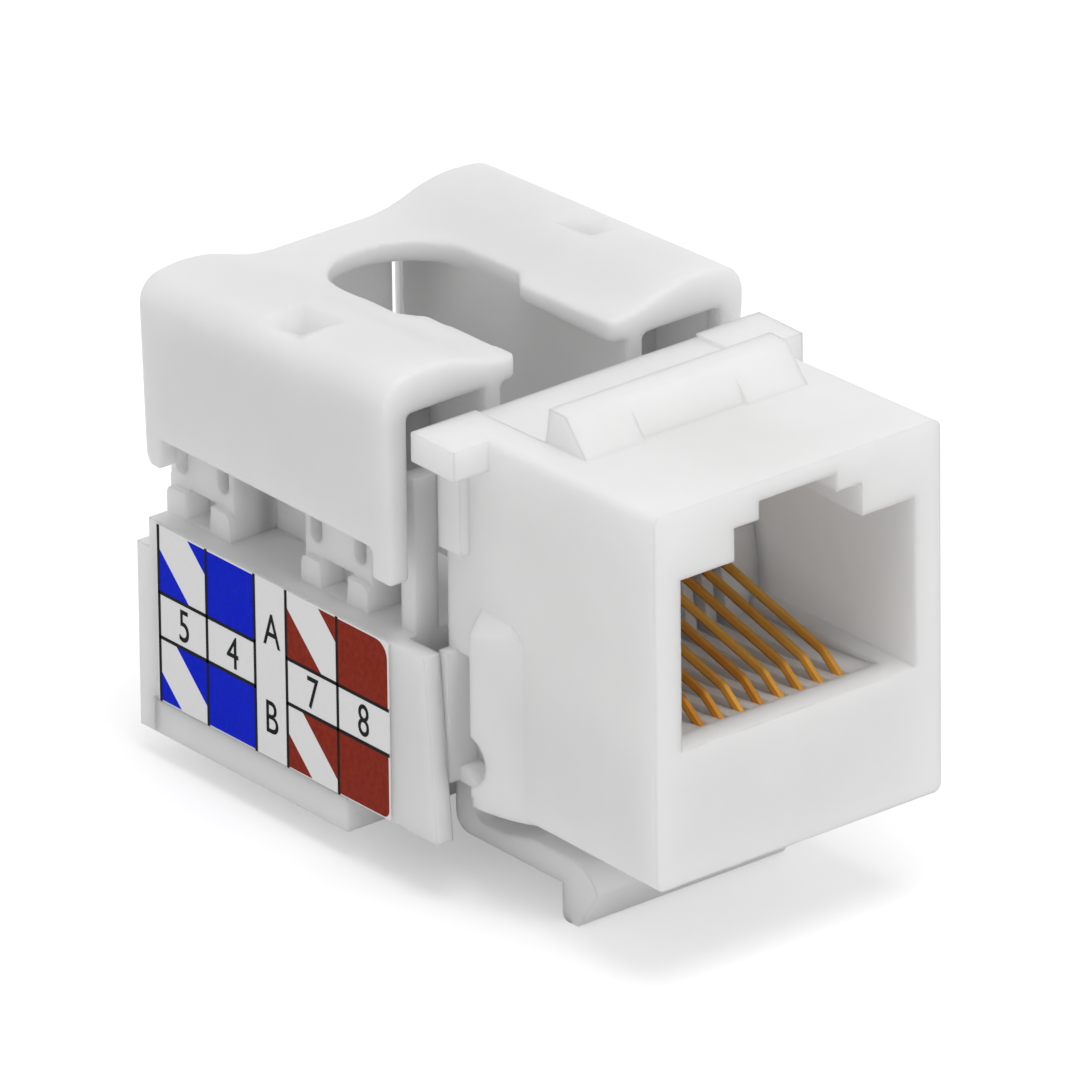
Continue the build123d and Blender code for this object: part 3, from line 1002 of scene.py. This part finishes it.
@dataclass
class Softbox:
    """Square lamp that looks at the object."""

    name: str
    place: Point3
    size: float
    power: float
    aim: Point3 = (0.0, 0.0, 0.01)

    def build(self) -> None:
        """Add the lamp."""
        data = bpy.data.lights.new(self.name, "AREA")
        data.shape = "SQUARE"
        data.size = self.size
        data.energy = self.power
        lamp = bpy.data.objects.new(self.name, data)
        away = Vector(self.place) - Vector(self.aim)
        lamp.matrix_world = Matrix.Translation(self.place) @ away.to_track_quat("Z", "Y").to_matrix().to_4x4()
        bpy.context.scene.collection.objects.link(lamp)


@dataclass
class Studio:
    """Plain white floor, even sky and soft lamps."""

    floor_half: float = 6.0
    sky: float = 0.6
    floor_tone: float = 0.85
    floor_lift: float = 0.35
    tone_drift: float = 0.01
    fibre: float = 900.0
    lamps: list[Softbox] = field(default_factory=lambda: [
        Softbox("key_lamp", (-0.08, -0.28, 0.9), 0.5, 3.0),
        Softbox("front_lamp", (0.3, -0.95, 0.1), 0.5, 1.0),
    ])

    def light_path(self, tree: bpy.types.NodeTree) -> Socket:
        """Add a value that is 1 for what the camera sees directly, in a mirror or through glass.

        Args:
            tree: The tree that gets the nodes.

        Returns:
            The value.
        """
        path = tree.nodes.new("ShaderNodeLightPath")
        total = path.outputs["Is Camera Ray"]
        for name in ("Is Glossy Ray", "Is Transmission Ray"):
            both = tree.nodes.new("ShaderNodeMath")
            both.operation = "MAXIMUM"
            tree.links.new(total, both.inputs[0])
            tree.links.new(path.outputs[name], both.inputs[1])
            total = both.outputs[0]
        return total

    def build_sky(self) -> None:
        """Light the scene evenly from a white sky that is plain white in view."""
        world = bpy.data.worlds.new("sky")
        bpy.context.scene.world = world
        world.use_nodes = True
        tree = world.node_tree
        background = next(n for n in tree.nodes if n.type == "BACKGROUND")
        background.inputs["Color"].default_value = (1.0, 1.0, 1.0, 1.0)
        strength = tree.nodes.new("ShaderNodeMapRange")
        strength.inputs["To Min"].default_value = self.sky
        strength.inputs["To Max"].default_value = 1.0
        tree.links.new(self.light_path(tree), strength.inputs["Value"])
        tree.links.new(strength.outputs["Result"], background.inputs["Strength"])

    def build_floor(self) -> None:
        """Lay the floor, which shows nearly white in view and keeps the object's shadow."""
        Bench.clear()
        bpy.ops.mesh.primitive_plane_add(size=self.floor_half * 2)
        floor = bpy.context.object
        floor.name = "floor"
        tree = ShaderTree("floor_paper")
        place = tree.coordinates()
        fibre = tree.noise(place, self.fibre, 3.0)
        tone = tree.blend(fibre, (self.floor_tone,) * 3, (self.floor_tone + self.tone_drift,) * 3)
        paper = tree.node("ShaderNodeBsdfDiffuse", {"Color": tone})
        glow = tree.node("ShaderNodeEmission", {"Color": (1.0, 1.0, 1.0, 1.0)})
        seen = self.light_path(tree.tree)
        lift = tree.node("ShaderNodeMapRange", {"Value": seen, "To Max": self.floor_lift})
        tree.tree.links.new(lift.outputs["Result"], glow.inputs["Strength"])
        both = tree.node("ShaderNodeAddShader", {0: paper.outputs[0], 1: glow.outputs[0]})
        output = tree.node("ShaderNodeOutputMaterial")
        tree.tree.links.new(both.outputs[0], output.inputs["Surface"])
        floor.data.materials.append(tree.material)

    def build(self) -> None:
        """Add the sky, the floor and the lamps."""
        self.build_sky()
        self.build_floor()
        for lamp in self.lamps:
            lamp.build()
        bpy.context.scene.view_settings.view_transform = "Standard"


def main() -> None:
    """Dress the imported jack, print its charts and set up the studio."""
    logging.basicConfig(level=logging.INFO, format="%(message)s")
    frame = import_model()
    PhotoCamera().build()
    palette = Palette()
    Dressing(palette).build(frame["nodes"])
    DustCap(palette).build(frame["nodes"]["dust_cap"])
    print_charts(palette)
    Studio().build()


if __name__ == "__main__":
    main()
